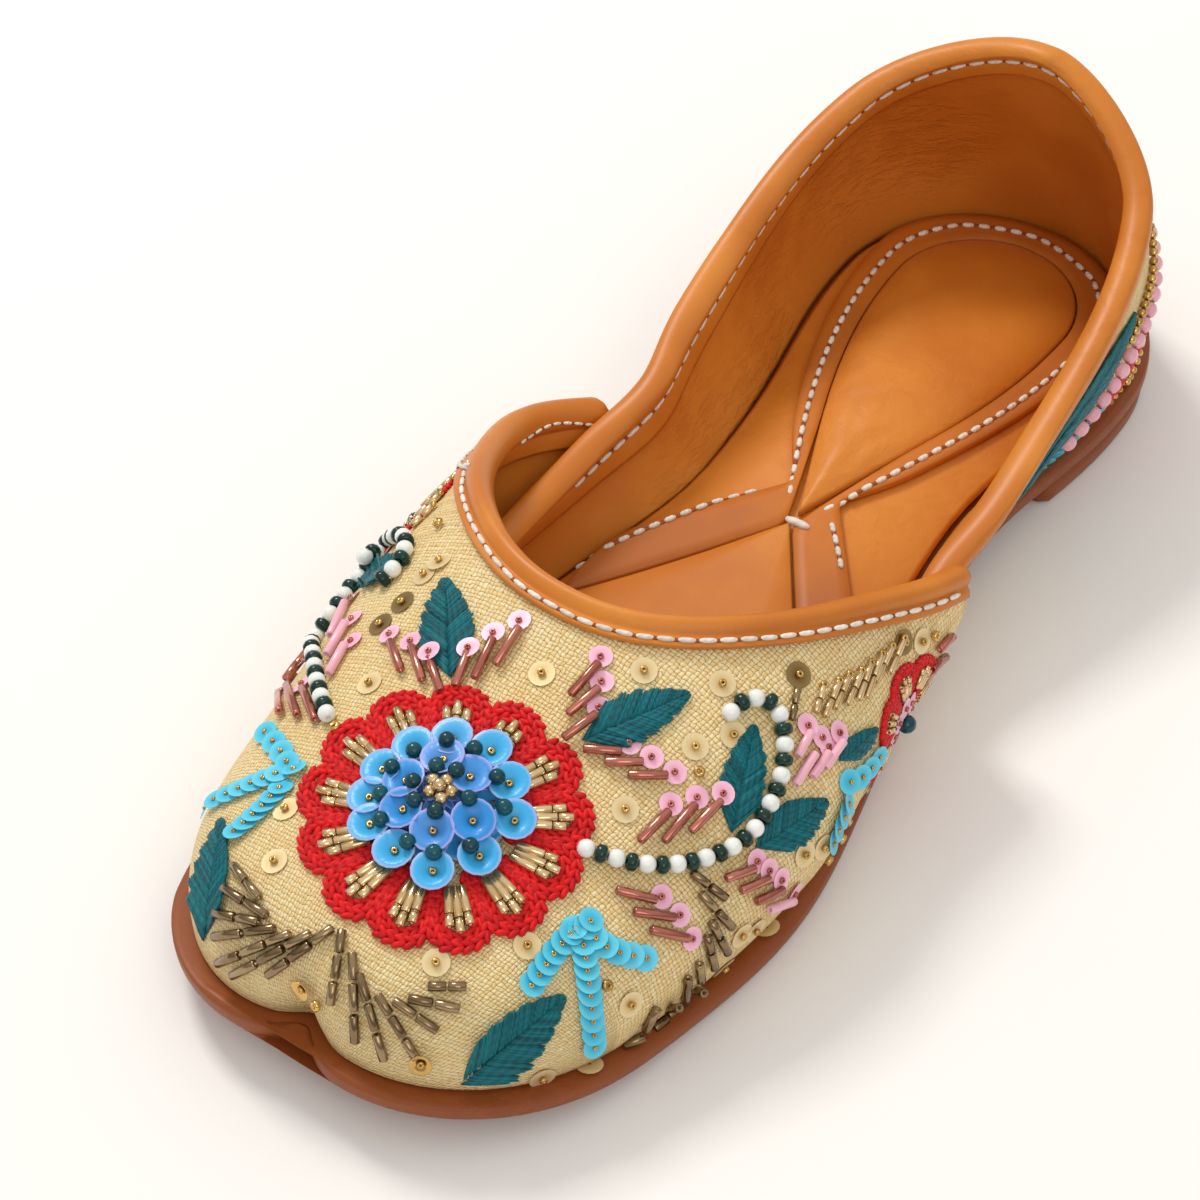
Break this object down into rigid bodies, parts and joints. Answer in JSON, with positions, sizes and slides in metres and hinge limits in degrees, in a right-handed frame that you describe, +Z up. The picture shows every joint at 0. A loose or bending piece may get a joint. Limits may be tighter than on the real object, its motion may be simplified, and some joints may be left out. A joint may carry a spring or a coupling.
{
  "type": "mojari shoe",
  "caption": "Flat slip-on shoe with a cleft toe, an embroidered front, a bound collar, a low rounded back and a low heel.",
  "frame": {"origin": "middle of the shoe's bounding box in plan, on the ground that it stands on", "axes": "+Z up, -Y towards the toe, +Y towards the heel, +X towards the inner side of the foot"},
  "size_m": [0.0942, 0.2436, 0.0634],
  "materials": {
    "sole_leather": "waxed dark brown",
    "tan_leather": "smooth tan",
    "raffia_cloth": "coarse gold weave",
    "silk_thread": "glossy embroidery thread",
    "cotton_thread": "white sewing thread",
    "glass_bead": "polished beads",
    "sequin": "pearly sequins",
    "gold_metal": "gold beads and tubes"
  },
  "bodies": {
    "root": {"outsole": "sole_leather", "heel_lift": "sole_leather", "vamp": "raffia_cloth", "quarter": "raffia_cloth", "vamp_binding": "tan_leather", "quarter_binding": "tan_leather", "insole": "tan_leather", "sock_band": "tan_leather", "heel_pad": "tan_leather", "front_sock": "tan_leather"}
  },
  "joints": []
}
